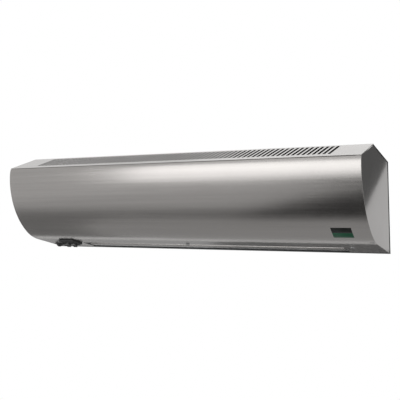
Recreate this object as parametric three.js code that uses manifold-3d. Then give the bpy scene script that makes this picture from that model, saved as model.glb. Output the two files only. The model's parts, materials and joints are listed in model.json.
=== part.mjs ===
// A stainless steel air curtain for a doorway, 0.8 m long, with a cross-flow fan
// and straight electric heating elements.
// Millimetres, +Z up, +X along the length, the front faces -Y.
// The origin is the middle of the flat back, where the casing lies on the wall.
import * as THREE from 'three';
import { mergeVertices } from 'three/addons/utils/BufferGeometryUtils.js';
import Module from 'manifold-3d';

const manifoldLibrary = await Module();
manifoldLibrary.setup();
const { Manifold, Mesh } = manifoldLibrary;

// ---------------------------------------------------------------- driving sizes

const gap = 0.3;                  // between pieces that lie on each other
const casingLength = 800;
const skin = 1.0;                 // sheet of the casing's skins
const innerSheet = 1.2;           // sheet of the plates inside

// The casing's outer section, as (Y, Z).
const casingDepth = 186;
const backTop = 89;
const backBottom = -89;
const ridge = { y: -104, z: 116 };
const inletFrontHeight = 90;
const bottomCorner = { y: -106, z: -66 };
const frontBulgeHigh = { ahead: 8, z: 72 };
const frontBulgeLow = { ahead: 3, z: -21 };
const bottomBendReach = 15;       // the soft bend under the front starts this far from it

// Folds of the skins.
const gapInletToSkin = gap;
const frontTopFlange = 11;
const ridgeFlange = 5;
const rearBottomFlange = 11;
const foldSetback = 12.5;           // folds under the inlet end this far from the ends
const endPlateInset = 0.8;
const endPlateLip = 10;

// The slotted inlet.
const slotCount = 68;
const slotPitch = 10;
const slotWidth = 5.6;
const slotFrontMargin = 15;
const slotRidgeMargin = 6.5;
const slotFieldCentre = 1.5;

// The outlet in the underside, along X, and across the underside from its front corner.
const outletLeft = -294;
const outletRight = 324;
const outletFront = 50;
const vaneFront = 74;
const vaneLip = 14;
const vaneHeight = 17;
const vaneLean = { halfway: 1.5, top: 5.5 };
const vaneAboveFace = 1.2;
const vaneEndGap = 4;

// The fan.
const fanY = -(casingDepth / 2 + 5);
const fanZ = 22;
const fanRadius = 46;
const fanInnerRadius = 37;
const fanEndGap = 1.5;
const bladeCount = 22;
const bladeThickness = 0.9;
const bladeLead = 17;             // degrees that a blade's tip is ahead of its root
const discCount = 5;
const discThickness = 1.5;
const shaftRadius = 4;
const runningGap = 0.3;
const hubWall = 3;
const couplingRadius = 14;
const couplingLength = 12;

// The air duct round the fan.
const ductSheet = 0.8;
const scrollStartGap = 4;
const scrollGrowth = 0.164;
const scrollStartAngle = 75;
const scrollEndAngle = 5;
const scrollLip = 5;
const tongueGap = 5;
const tongueStartAngle = -152;
const tongueEndAngle = -105;
const tongueLip = 24;
const tongueRiser = 8;

// The blower's end cheeks.
const cheekGap = 2;
const cheekHoleRadius = 18;
const cheekLip = 14;
const cheekLipReach = 60;         // above and below the middle of the back
const cheekFootMargin = { x: 10, across: 20 };

// The fan's bearing.
const bushOuterRadius = 10;
const bushLength = 11;
const bearingWall = 3;
const bearingFlangeRadius = 29;
const bearingFlange = 2;

// The motor.
const motorStandoff = 5;
const standoffRadius = 4;
const standoffCircle = 34;
const motorPlate = 1.5;
const shieldDepth = 9;
const shieldWall = 2;
const shieldRadius = 38;
const stackLength = 30;
const stackSize = 78;
const stackCornerRadius = 14;
const rotorCoreRadius = 21;
const airGap = 0.6;

// The heating elements.
const heaterCount = 3;
const heaterRadius = 4.2;
const heaterPinRadius = 2;
const heaterPinLength = 12;
const heaterInsulatorRadius = 6;
const heaterInsulatorLength = 5;
const heaterOutsideCheek = 1.5;
const heaterHoleRadius = 4.6;
const heaterFirst = { y: bottomCorner.y + 32, z: fanZ - fanRadius - 10 };
const heaterStep = { y: 20, z: -6 };
const heaterSupportMargin = 1.5;
const heaterSupportFoot = [0.35, 0.7];   // shares of the tongue's wall

// The control end, placed along X and across the underside.
const trayFront = bottomBendReach + 1;
const trayRear = 101;
const trayUpstand = { front: 72, rear: 95, height: 14 };
const switchPanelX = -316.5;
const switchPanelAcross = 33;
const switchPanelLength = 41;
const switchPanelWidth = 36;
const switchPanelHeight = 5;
const switchSpacing = 18;
const switchBodyLength = 15;
const switchBodyWidth = 28;
const switchBodyDepth = 24;
const switchRim = 1.4;
const switchRimWidth = 1.2;
const rockerLength = 10.6;
const rockerWidth = 23;
const rockerGap = 0.5;
const rockerDepth = 7;
const rockerProud = 4;
const rockerTilt = -8;           // degrees, with the rear end out
const rockerPinRadius = 1.4;
const rockerPinLength = 1.2;
const rockerPocketSpare = 2.5;
const contactTab = { pitch: 9, halfWidth: 3, halfThickness: 0.4, length: 8 };
const supplyGland = { x: -371, across: 63, acrossFlats: 19, shank: 6, dome: 7 };
const controlGland = { x: -350.5, across: 63, acrossFlats: 14, shank: 4.5, dome: 5.5 };
const glandFlange = 3.5;
const glandShankAbove = 9;
const glandNut = 3.5;

// Fixings in the underside.
const screwHeadRadius = 4.1;
const screwHeadHeight = 2.3;
const screwShankRadius = 1.9;
const screwLength = 6.5;
const screwHoleRadius = 2.2;
const fixingAcross = 41;
const fixingPlaces = { left: -354.5, centre: -12, right: 345 };
const rivetX = 36;
const rivetRadius = 2.2;

// Inside the control end.
const terminal = { x: -322, across: 78, length: 22, width: 44, height: 20, poles: 5 };
const capacitorRadius = 14;
const capacitorLength = 58;
const capacitorPlace = { y: fanY - 30, z: 74 };
const clipWidth = 12;
const clipSheet = 1;
const cutoutPlace = { y: -52, z: -8 };
const cutoutRadius = 8.5;
const earthPlace = { y: -140, z: 12 };
const leadRadius = 3.2;
const leadLine = { y: -14, z: 62 };
const grommetHoleRadius = 6;

// Keyholes in the back for the wall screws.
const keyholeX = 260;
const keyholeZ = 45;
const keyholeRadius = 5.5;
const keyholeSlotWidth = 5.6;
const keyholeRise = 14;

// ---------------------------------------------------------------- materials

const finish = (colour, metalness, roughness) =>
  new THREE.MeshStandardMaterial({ color: colour, metalness, roughness });

const stainless = finish(0xa3a09c, 1.0, 0.34);
const darkSheet = finish(0x26282a, 0.4, 0.55);
const zincSheet = finish(0xa9adb0, 0.9, 0.42);
const fanMetal = finish(0xb7babd, 0.9, 0.38);
const steel = finish(0x8f9294, 1.0, 0.3);
const blackPlastic = finish(0x151516, 0.0, 0.45);
const rubber = finish(0x1c1c1d, 0.0, 0.85);
const bronze = finish(0x9a7440, 0.9, 0.4);
const heaterSteel = finish(0x6a6560, 0.9, 0.45);
const lampPlastic = finish(0x1a1a1c, 0.0, 0.35);
const greyPlastic = finish(0xd8d6cd, 0.0, 0.5);
const aluminium = finish(0xc9cbcd, 0.9, 0.35);
const greySleeve = finish(0x8a8c8e, 0.0, 0.7);

// ---------------------------------------------------------------- solids

function withoutCollapsedTriangles(geometry) {
  const index = geometry.getIndex().array;
  const kept = [];
  for (let i = 0; i < index.length; i += 3) {
    const [a, b, c] = [index[i], index[i + 1], index[i + 2]];
    if (a !== b && b !== c && c !== a) kept.push(a, b, c);
  }
  return kept;
}

// A closed three.js geometry as a solid, whichever way round its outline was drawn.
function solid(geometry) {
  const bare = geometry.clone();
  bare.deleteAttribute('normal');
  bare.deleteAttribute('uv');
  const merged = mergeVertices(bare, 1e-4);
  const triangles = withoutCollapsedTriangles(merged);
  const vertices = new Float32Array(merged.getAttribute('position').array);
  const wrap = (list) => new Manifold(
    new Mesh({ numProp: 3, vertProperties: vertices, triVerts: new Uint32Array(list) }));
  const first = wrap(triangles);
  if (first.volume() > 0) return first;
  for (let i = 0; i < triangles.length; i += 3) {
    [triangles[i], triangles[i + 1]] = [triangles[i + 1], triangles[i]];
  }
  return wrap(triangles);
}

const joined = (...solids) => solids.reduce((whole, next) => whole.add(next));
const cut = (whole, ...tools) => tools.reduce((left, tool) => left.subtract(tool), whole);

function geometryOf(body) {
  const mesh = body.getMesh();
  const geometry = new THREE.BufferGeometry();
  const positions = new THREE.BufferAttribute(new Float32Array(mesh.vertProperties), 3);
  geometry.setAttribute('position', positions);
  geometry.setIndex(new THREE.BufferAttribute(new Uint32Array(mesh.triVerts), 1));
  const flat = geometry.toNonIndexed();
  flat.computeVertexNormals();
  return flat;
}

const curtain = new THREE.Group();

function place(name, body, material, parent = curtain) {
  const mesh = new THREE.Mesh(geometryOf(body), material);
  mesh.name = name;
  parent.add(mesh);
  return mesh;
}

// ---------------------------------------------------------------- outlines

const point = (y, z) => new THREE.Vector2(y, z);
const towards = (from, to) => to.clone().sub(from).normalize();
const leftOf = (direction) => point(-direction.y, direction.x);
const radians = THREE.MathUtils.degToRad;
const polar = (radius, degrees) =>
  point(radius * Math.cos(radians(degrees)), radius * Math.sin(radians(degrees)));

// The path moved sideways to its left, with mitred corners.
function beside(path, distance) {
  return path.map((here, i) => {
    const before = i > 0 ? towards(path[i - 1], here) : towards(here, path[i + 1]);
    const after = i < path.length - 1 ? towards(here, path[i + 1]) : before;
    const side = leftOf(before).add(leftOf(after)).normalize();
    return here.clone().addScaledVector(side, distance / side.dot(leftOf(before)));
  });
}

// The closed outline moved inwards, for an outline that runs with its inside on the left.
function inset(outline, distance) {
  const last = outline.length - 1;
  const looped = [outline[last], ...outline, outline[0]];
  return beside(looped, distance).slice(1, -1);
}

// A bent sheet's section: the path is one face and the other lies to its left.
function sheetSection(path, thickness) {
  return new THREE.Shape([...path, ...beside(path, thickness).reverse()]);
}

// A corner rounded with the radius, as points from the first leg to the second.
function bend(before, corner, after, radius, steps) {
  const into = towards(before, corner);
  const out = towards(corner, after);
  const turn = Math.atan2(into.x * out.y - into.y * out.x, into.dot(out));
  const start = corner.clone().addScaledVector(into, -radius * Math.tan(Math.abs(turn) / 2));
  const side = leftOf(into).multiplyScalar(Math.sign(turn));
  const centre = start.clone().addScaledVector(side, radius);
  const points = [];
  for (let i = 0; i <= steps; i += 1) {
    const spoke = start.clone().sub(centre);
    points.push(spoke.rotateAround(point(0, 0), (turn * i) / steps).add(centre));
  }
  return points;
}

// An outline in (Y, Z) carried along X.
const sectionAxes = new THREE.Matrix4().makeBasis(
  new THREE.Vector3(0, 1, 0), new THREE.Vector3(0, 0, 1), new THREE.Vector3(1, 0, 0));

function alongX(shape, from, to) {
  const geometry = new THREE.ExtrudeGeometry(shape, {
    depth: to - from, bevelEnabled: false, steps: 1 });
  geometry.applyMatrix4(sectionAxes);
  geometry.translate(from, 0, 0);
  return solid(geometry);
}

// A revolved profile of (radius, distance along X), about an axis through (Y, Z).
function revolved(profile, y, z, sides) {
  const points = profile.map(([radius, along]) => point(radius, along));
  const geometry = new THREE.LatheGeometry(points, sides);
  geometry.rotateZ(-Math.PI / 2);
  geometry.translate(0, y, z);
  return solid(geometry);
}

function rod(radius, from, to, y, z, sides = 16) {
  return revolved([[0, from], [radius, from], [radius, to], [0, to]], y, z, sides);
}

function tube(inner, outer, from, to, y, z, sides = 24) {
  const profile = [[inner, from], [outer, from], [outer, to], [inner, to], [inner, from]];
  return revolved(profile, y, z, sides);
}

// A block between two corners.
function block(low, high) {
  const size = high.map((value, i) => value - low[i]);
  const geometry = new THREE.BoxGeometry(...size);
  geometry.translate(...low.map((value, i) => value + size[i] / 2));
  return solid(geometry);
}

// ---------------------------------------------------------------- the casing's section

const halfLength = casingLength / 2;
const inletFront = point(-casingDepth, inletFrontHeight);
const ridgePoint = point(ridge.y, ridge.z);
const slope = towards(inletFront, ridgePoint);
const slopeInward = point(slope.y, -slope.x);
const slopeLength = inletFront.distanceTo(ridgePoint);
const stepUnderInlet = (skin + gapInletToSkin) / slope.x;
const frontTop = point(inletFront.x, inletFront.y - stepUnderInlet);
const ridgeTop = point(ridgePoint.x, ridgePoint.y - stepUnderInlet);
const bottomFront = point(bottomCorner.y, bottomCorner.z);
const bottomRear = point(0, backBottom);
const backUpper = point(0, backTop);
const underside = towards(bottomFront, bottomRear);
const undersideLength = bottomFront.distanceTo(bottomRear);
const undersideTilt = Math.atan2(underside.y, underside.x);

// A point at a distance across the underside and a height above its outer face.
function acrossUnderside(across, height) {
  return bottomFront.clone()
    .addScaledVector(underside, across)
    .addScaledVector(leftOf(underside), height);
}

function underInlet(along, depth) {
  return inletFront.clone()
    .addScaledVector(slope, along)
    .addScaledVector(slopeInward, depth);
}

// The front skin's outer face, from its top edge to the start of the underside.
function frontFace() {
  const curve = new THREE.CubicBezierCurve(
    frontTop,
    point(-casingDepth - frontBulgeHigh.ahead, frontBulgeHigh.z),
    point(-casingDepth - frontBulgeLow.ahead, frontBulgeLow.z),
    bottomFront);
  const points = curve.getPoints(16);
  const clear = points.filter((p) => p.distanceTo(bottomFront) > bottomBendReach + 1);
  const before = clear[clear.length - 1];
  const turn = towards(before, bottomFront).angleTo(underside);
  const radius = bottomBendReach / Math.tan(turn / 2);
  return [...clear, ...bend(before, bottomFront, bottomRear, radius, 5)];
}

// Where the line through a and b meets the line through c and d.
function crossing(a, b, c, d) {
  const along = towards(a, b);
  const other = towards(c, d);
  const reach = c.clone().sub(a).dot(leftOf(other)) / along.dot(leftOf(other));
  return a.clone().addScaledVector(along, reach);
}

// The outer section as a closed outline with its inside on the left. Its top corner is
// where the rear sheet's sloping top meets the inlet's face.
function casingOutline() {
  const topCorner = crossing(backUpper, ridgeTop, inletFront, ridgePoint);
  return [...frontFace(), bottomRear, backUpper, topCorner, inletFront];
}

// The underside's frame: X along the casing, Y across the underside, Z inwards.
const undersideFrame = new THREE.Group();
undersideFrame.position.set(0, bottomFront.x, bottomFront.y);
undersideFrame.rotation.x = undersideTilt;
undersideFrame.updateMatrix();
curtain.add(undersideFrame);

// The part of a tool made in the underside's frame, moved to the casing's frame.
const fromUnderside = (body) => body.transform(undersideFrame.matrix.elements);

// A rod standing on the underside's frame, square to the underside.
function post(profile, x, across, sides) {
  const points = profile.map(([radius, height]) => point(radius, height));
  const geometry = new THREE.LatheGeometry(points, sides);
  geometry.rotateX(Math.PI / 2);
  geometry.translate(x, across, 0);
  return solid(geometry);
}

const pin = (radius, low, high, x, across, sides = 12) =>
  post([[0, low], [radius, low], [radius, high], [0, high]], x, across, sides);

// ---------------------------------------------------------------- casing skins

// The front skin is one sheet: a fold under the inlet, the curved front, the bend and
// the underside, which is open at the back edge where the outlet is.
function frontPanel() {
  const face = frontFace();
  const undersideEnd = acrossUnderside(undersideLength - rearBottomFlange - gap, 0);
  const sheet = alongX(sheetSection([...face, undersideEnd], skin), -halfLength, halfLength);
  const foldPath = [underInlet(frontTopFlange, skin + gapInletToSkin), frontTop, face[1]];
  const foldEnd = halfLength - foldSetback;
  const fold = alongX(sheetSection(foldPath, skin), -foldEnd, foldEnd);
  const outlet = fromUnderside(block(
    [outletLeft, outletFront, -5], [outletRight, undersideLength, skin + 1]));
  return cut(joined(sheet, fold), outlet, ...undersideHoles());
}

// The holes that pass through the front skin's underside and the tray above it.
function undersideHoles() {
  const screwXs = Object.values(fixingPlaces);
  const low = -2;
  const high = skin + gap + innerSheet + 2;
  const holes = screwXs.map((x) => pin(screwHoleRadius, low, high, x, fixingAcross));
  holes.push(pin(rivetRadius - 0.2 + gap, low, high, rivetX, fixingAcross));
  for (const gland of [supplyGland, controlGland]) {
    holes.push(pin(gland.shank + gap, low, high, gland.x, gland.across, 16));
  }
  const half = switchSpacing / 2 + switchBodyLength / 2 + gap;
  const deep = switchBodyWidth / 2 + gap;
  holes.push(block(
    [switchPanelX - half, switchPanelAcross - deep, low],
    [switchPanelX + half, switchPanelAcross + deep, high]));
  return holes.map(fromUnderside);
}

// The slotted inlet panel on the slope between the front skin and the ridge.
function inletGrille() {
  const path = [inletFront, ridgePoint];
  const geometry = new THREE.ExtrudeGeometry(grilleOutline(), {
    depth: skin, bevelEnabled: false });
  const across = new THREE.Vector3(0, slope.x, slope.y);
  const outward = new THREE.Vector3(0, -slopeInward.x, -slopeInward.y);
  const axes = new THREE.Matrix4().makeBasis(new THREE.Vector3(1, 0, 0), across, outward);
  geometry.translate(0, 0, -skin);
  geometry.applyMatrix4(axes);
  geometry.translate(0, path[0].x, path[0].y);
  return solid(geometry);
}

function grilleOutline() {
  const outline = new THREE.Shape([
    point(-halfLength, 0), point(halfLength, 0),
    point(halfLength, slopeLength), point(-halfLength, slopeLength)]);
  const round = slotWidth / 2;
  const low = slotFrontMargin + round;
  const high = slopeLength - slotRidgeMargin - round;
  for (let i = 0; i < slotCount; i += 1) {
    const x = slotFieldCentre + (i - (slotCount - 1) / 2) * slotPitch;
    const slot = new THREE.Path();
    for (let corner = 0; corner < 6; corner += 1) {
      const spoke = polar(round, 90 * (corner - Math.floor(corner / 3)));
      const end = corner < 3 ? high : low;
      slot[corner === 0 ? 'moveTo' : 'lineTo'](x + spoke.x, end + spoke.y);
    }
    outline.holes.push(slot);
  }
  return outline;
}

// The dark rear sheet: a fold under the inlet's rear edge, the sloping top, the flat
// back with its keyholes and a narrow flange under the casing.
function rearPanel() {
  const flangeEnd = acrossUnderside(undersideLength - rearBottomFlange, 0);
  const path = [flangeEnd, bottomRear, backUpper, ridgeTop];
  const sheet = alongX(sheetSection(path, skin), -halfLength, halfLength);
  const foldStart = underInlet(slopeLength - ridgeFlange, skin + gapInletToSkin);
  const foldPath = [backUpper.clone().lerp(ridgeTop, 0.9), ridgeTop, foldStart];
  const foldEnd = halfLength - foldSetback;
  const fold = alongX(sheetSection(foldPath, skin), -foldEnd, foldEnd);
  return cut(joined(sheet, fold), keyhole(-keyholeX), keyhole(keyholeX));
}

function keyhole(x) {
  const opening = new THREE.Shape();
  const half = keyholeSlotWidth / 2;
  const shoulder = Math.asin(half / keyholeRadius);
  opening.absarc(x, keyholeZ, keyholeRadius, Math.PI / 2 + shoulder, Math.PI * 2.5 - shoulder);
  opening.absarc(x, keyholeZ + keyholeRise, half, 0, Math.PI);
  const geometry = new THREE.ExtrudeGeometry(opening, {
    depth: skin + 4, bevelEnabled: false, curveSegments: 10 });
  geometry.rotateX(Math.PI / 2);
  geometry.translate(0, 2, 0);
  return solid(geometry);
}

// An end plate is a shallow pan that fits inside the skins, with its lip turned inwards.
function endPlate(side) {
  const outline = inset(casingOutline(), skin + gap);
  const outer = side * (halfLength - endPlateInset);
  const inner = outer - side * innerSheet;
  const lipEnd = inner - side * endPlateLip;
  const slab = (shape, a, b) => alongX(new THREE.Shape(shape), Math.min(a, b), Math.max(a, b));
  const plate = slab(outline, inner, outer);
  const full = slab(outline, inner + side * 0.1, lipEnd);
  const hollow = slab(inset(outline, innerSheet), inner + side, lipEnd - side);
  const pan = joined(plate, cut(full, hollow));
  const passages = side < 0 ? undersideHoles() : [];
  return cut(pan, ...passages);
}

// ---------------------------------------------------------------- the blower

const cheekLeftInner = outletLeft - cheekGap;
const cheekRightInner = outletRight + cheekGap;
const fanLeft = cheekLeftInner + fanEndGap;
const fanRight = cheekRightInner - fanEndGap;

const aroundFan = (radius, degrees) => polar(radius, degrees).add(point(fanY, fanZ));

// A cheek closes the duct's end, carries the fan and stands on the underside.
function cheek(inner, side) {
  const outer = inner + side * innerSheet;
  const [low, high] = [Math.min(inner, outer), Math.max(inner, outer)];
  const outline = inset(casingOutline(), skin + gap);
  const blank = alongX(new THREE.Shape(outline), low, high);
  const underFolds = 2 * (skin + gap);
  const beyond = 30;
  const trimmed = new THREE.Shape([
    underInlet(-beyond, underFolds), underInlet(slopeLength + beyond, underFolds),
    underInlet(slopeLength + beyond, -beyond), underInlet(-beyond, -beyond)]);
  const lipFace = -skin - gap;
  const lip = sheetSection(
    [point(lipFace, -cheekLipReach), point(lipFace, cheekLipReach)], innerSheet);
  const rearLip = alongX(lip, Math.min(outer - side, outer + side * cheekLip),
    Math.max(outer - side, outer + side * cheekLip));
  const holes = [
    rod(cheekHoleRadius, low - 1, high + 1, fanY, fanZ, 16),
    rod(grommetHoleRadius, low - 1, high + 1, leadLine.y, leadLine.z, 12),
    ...heaterPlaces().map((p) => rod(heaterHoleRadius, low - 1, high + 1, p.x, p.y, 12)),
  ];
  const slopeTrim = alongX(trimmed, low - 1, high + 1);
  return cut(joined(cut(blank, slopeTrim), rearLip), ...holes);
}

// The right cheek also has a foot on the underside, which the right screw holds.
function cheekFoot() {
  const outer = cheekRightInner + innerSheet;
  const foot = block(
    [outer - 1, trayFront, skin + gap],
    [fixingPlaces.right + cheekFootMargin.x, fixingAcross + cheekFootMargin.across,
      skin + gap + innerSheet]);
  return cut(fromUnderside(foot), ...undersideHoles());
}

// The scroll is a spiral behind the fan that runs out into a straight duct wall.
function fanScroll() {
  const path = [];
  const steps = 12;
  for (let i = 0; i <= steps; i += 1) {
    const angle = THREE.MathUtils.lerp(scrollStartAngle, scrollEndAngle, i / steps);
    const turned = radians(scrollStartAngle - angle);
    const radius = (fanRadius + scrollStartGap) * Math.exp(scrollGrowth * turned);
    path.push(aroundFan(radius, angle));
  }
  const lipHeight = skin + gap;
  const lipAcross = undersideLength - rearBottomFlange;
  path.push(acrossUnderside(lipAcross, lipHeight + ductSheet));
  path.push(acrossUnderside(lipAcross + scrollLip, lipHeight + ductSheet));
  const curl = path[0].clone().add(point(4, 9));
  const section = sheetSection([curl, ...path], ductSheet);
  return alongX(section, cheekLeftInner + gap, cheekRightInner - gap);
}

// The tongue parts the inlet from the outlet, below the fan and in front of it.
function fanTongue() {
  const radius = fanRadius + tongueGap;
  const arc = [];
  const steps = 5;
  for (let i = 0; i <= steps; i += 1) {
    arc.push(aroundFan(radius, THREE.MathUtils.lerp(tongueStartAngle, tongueEndAngle, i / steps)));
  }
  const foot = skin + gap;
  const path = [
    aroundFan(radius + 10, tongueStartAngle - 4), ...arc,
    acrossUnderside(outletFront, tongueRiser),
    acrossUnderside(outletFront, foot)];
  const wall = sheetSection(path, -ductSheet);
  const lip = new THREE.Shape([
    acrossUnderside(outletFront, foot), acrossUnderside(outletFront, foot + ductSheet),
    acrossUnderside(outletFront - tongueLip, foot + ductSheet),
    acrossUnderside(outletFront - tongueLip, foot)]);
  const [from, to] = [cheekLeftInner + gap, cheekRightInner - gap];
  const holes = [fixingPlaces.centre, rivetX].map((x) =>
    fromUnderside(pin(screwHoleRadius, 0, 5, x, fixingAcross)));
  return cut(joined(alongX(wall, from, to), alongX(lip, from, to)), ...holes);
}

// The guide vane lies along the outlet, with its tabs against the cheeks.
function outletVane() {
  const from = outletLeft + vaneEndGap;
  const to = outletRight - vaneEndGap;
  const low = vaneAboveFace;
  const path = [
    acrossUnderside(vaneFront + vaneLip, low),
    acrossUnderside(vaneFront, low),
    acrossUnderside(vaneFront - vaneLean.halfway, low + vaneHeight / 2),
    acrossUnderside(vaneFront - vaneLean.top, low + vaneHeight)];
  const web = alongX(sheetSection(path, -innerSheet), from, to);
  const tabPath = path.slice(2);
  const tabs = alongX(
    sheetSection(tabPath, -innerSheet), cheekLeftInner + gap, cheekRightInner - gap);
  return joined(web, tabs);
}

// ---------------------------------------------------------------- the fan

// One blade's section, curved forwards, in the plane across the fan.
function bladeSection(degrees) {
  const stations = [0, 0.5, 1];
  const tipRadius = fanRadius - 0.8;
  const spine = stations.map((share) => {
    const radius = THREE.MathUtils.lerp(fanInnerRadius, tipRadius, share);
    const curl = bladeLead * Math.pow(share, 1.7);
    return polar(radius, degrees - curl);
  });
  const one = beside(spine, bladeThickness / 2);
  const other = beside(spine, -bladeThickness / 2).reverse();
  return new THREE.Shape([...one, ...other]);
}

function fanRotor() {
  const parts = [];
  for (let i = 0; i < bladeCount; i += 1) {
    parts.push(alongX(bladeSection((360 / bladeCount) * i), fanLeft + 0.5, fanRight - 0.5));
  }
  const wheel = joined(...fanDiscs(), ...parts.map((blade) => blade.translate(0, fanY, fanZ)));
  const hubOuter = couplingRadius + hubWall;
  const hubStart = fanRight - couplingLength;
  const hub = tube(couplingRadius, hubOuter, hubStart, fanRight, fanY, fanZ, 18);
  const leftHub = tube(shaftRadius + gap, hubOuter - 6, fanLeft, fanLeft + 10, fanY, fanZ, 16);
  return joined(wheel, hub, leftHub);
}

// The end discs reach in to the hubs, the others are rings that carry the blades.
function fanDiscs() {
  const discs = [];
  const spacing = (fanRight - fanLeft - discThickness) / (discCount - 1);
  for (let i = 0; i < discCount; i += 1) {
    const from = fanLeft + spacing * i;
    let bore = fanInnerRadius - 5;
    if (i === 0) bore = shaftRadius + gap;
    if (i === discCount - 1) bore = couplingRadius;
    discs.push(tube(bore, fanRadius, from, from + discThickness, fanY, fanZ, 36));
  }
  return discs;
}

const bearingStart = cheekLeftInner - innerSheet - gap;
const bearingEnd = bearingStart - bushLength - 2;

function rotorJournal() {
  return rod(shaftRadius, bearingEnd - 1, fanLeft + 14, fanY, fanZ, 16);
}

function bearingBush() {
  return tube(shaftRadius + runningGap, bushOuterRadius,
    bearingStart - bushLength, bearingStart, fanY, fanZ, 20);
}

// The housing is a flanged cup bolted on the cheek's outer side.
function bearingHousing() {
  const bore = bushOuterRadius + gap;
  const cup = bore + bearingWall;
  const lipBore = bushOuterRadius - 3;
  const lip = bearingStart - bushLength - gap;
  const profile = [
    [bore, bearingStart], [bearingFlangeRadius, bearingStart],
    [bearingFlangeRadius, bearingStart - bearingFlange], [cup, bearingStart - bearingFlange],
    [cup, bearingEnd], [lipBore, bearingEnd], [lipBore, lip], [bore, lip],
    [bore, bearingStart]];
  const flanged = revolved(profile, fanY, fanZ, 18);
  const bolts = [90, 210, 330].map((degrees) => {
    const centre = aroundFan(bearingFlangeRadius - 6, degrees);
    return rod(3, bearingStart - bearingFlange - 2, bearingStart - 1, centre.x, centre.y, 6);
  });
  return joined(flanged, ...bolts);
}

// ---------------------------------------------------------------- the motor

const bracketStart = cheekRightInner + innerSheet + gap;
const bracketPlateStart = bracketStart + motorStandoff;
const bracketEnd = bracketPlateStart + motorPlate;
const frontShieldStart = bracketEnd + gap;
const stackStart = frontShieldStart + shieldDepth + gap;
const stackEnd = stackStart + stackLength;
const rearShieldEnd = stackEnd + gap + shieldDepth;

function motorBracket() {
  const plate = tube(16, shieldRadius + 4, bracketPlateStart, bracketEnd, fanY, fanZ, 18);
  const feet = [45, 135, 225, 315].map((degrees) => {
    const centre = aroundFan(standoffCircle, degrees);
    return rod(standoffRadius, bracketStart, bracketPlateStart + 1, centre.x, centre.y, 6);
  });
  return joined(plate, ...feet);
}

function motorShield(open, closed) {
  const towardsOpen = Math.sign(open - closed);
  const inside = closed + towardsOpen * shieldWall;
  const bore = shaftRadius + runningGap;
  const boss = shaftRadius + 5;
  const bossEnd = closed + towardsOpen * (shieldDepth - 2);
  return revolved([
    [bore, closed], [shieldRadius - 3, closed], [shieldRadius, inside],
    [shieldRadius, open], [shieldRadius - shieldWall, open],
    [shieldRadius - shieldWall, inside], [boss, inside], [boss, bossEnd],
    [bore, bossEnd], [bore, closed]], fanY, fanZ, 16);
}

// The stator's stack of plates is square with rounded corners.
function motorStack() {
  const half = stackSize / 2;
  const outline = new THREE.Shape();
  const inner = half - stackCornerRadius;
  for (let quarter = 0; quarter < 4; quarter += 1) {
    const signs = [[1, 1], [-1, 1], [-1, -1], [1, -1]][quarter];
    const start = (Math.PI / 2) * quarter;
    outline.absarc(fanY + inner * signs[0], fanZ + inner * signs[1],
      stackCornerRadius, start, start + Math.PI / 2, false);
  }
  const shape = new THREE.Shape(outline.getPoints(3));
  const bore = rod(rotorCoreRadius + airGap, stackStart - 1, stackEnd + 1, fanY, fanZ, 24);
  return cut(alongX(shape, stackStart, stackEnd), bore);
}

// The motor's shaft with its rotor core, which reaches into the coupling.
function motorRotor() {
  const shaftStart = fanRight - couplingLength + 2;
  const shaft = rod(shaftRadius, shaftStart, rearShieldEnd + 6, fanY, fanZ, 16);
  const core = rod(rotorCoreRadius, stackStart, stackEnd, fanY, fanZ, 24);
  return joined(shaft, core);
}

function shaftCoupling() {
  return tube(shaftRadius + gap, couplingRadius - gap,
    fanRight - couplingLength, fanRight + fanEndGap + 3, fanY, fanZ, 16);
}

// ---------------------------------------------------------------- heating

function heaterPlaces() {
  return Array.from({ length: heaterCount }, (_, i) =>
    point(heaterFirst.y + heaterStep.y * i, heaterFirst.z + heaterStep.z * i));
}

// A straight element with an insulator and a pin outside each cheek.
function heaterElement(centre) {
  const tip = innerSheet + heaterOutsideCheek;
  const left = cheekLeftInner - tip;
  const right = cheekRightInner + tip;
  const seat = heaterInsulatorLength;
  const pinEnd = seat + heaterPinLength;
  return revolved([
    [0, left - pinEnd], [heaterPinRadius, left - pinEnd], [heaterPinRadius, left - seat],
    [heaterInsulatorRadius, left - seat], [heaterInsulatorRadius, left],
    [heaterRadius, left], [heaterRadius, right], [heaterInsulatorRadius, right],
    [heaterInsulatorRadius, right + seat], [heaterPinRadius, right + seat],
    [heaterPinRadius, right + pinEnd], [0, right + pinEnd]], centre.x, centre.y, 10);
}

// A plate in mid-span with a hole for each element, standing on the tongue.
function heaterSupport() {
  const middle = (outletLeft + outletRight) / 2;
  const centres = heaterPlaces();
  const along = towards(centres[0], centres[centres.length - 1]);
  const up = leftOf(along);
  const reach = heaterRadius + heaterSupportMargin;
  const wallTop = aroundFan(fanRadius + tongueGap, tongueEndAngle);
  const wallFoot = acrossUnderside(outletFront, tongueRiser);
  const offWall = leftOf(towards(wallTop, wallFoot)).multiplyScalar(gap);
  const onWall = (share) => wallTop.clone().lerp(wallFoot, share).add(offWall);
  const first = centres[0].clone().addScaledVector(along, -reach);
  const last = centres[centres.length - 1].clone().addScaledVector(along, reach);
  const plate = new THREE.Shape([
    ...heaterSupportFoot.map(onWall), last.clone().addScaledVector(up, -reach),
    last.clone().addScaledVector(up, reach), first.clone().addScaledVector(up, reach)]);
  const bores = centres.map((c) =>
    rod(heaterHoleRadius, middle - innerSheet, middle + innerSheet, c.x, c.y, 12));
  return cut(alongX(plate, middle - innerSheet / 2, middle + innerSheet / 2), ...bores);
}

// ---------------------------------------------------------------- control end

const cheekLeftOuter = cheekLeftInner - innerSheet;

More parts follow.
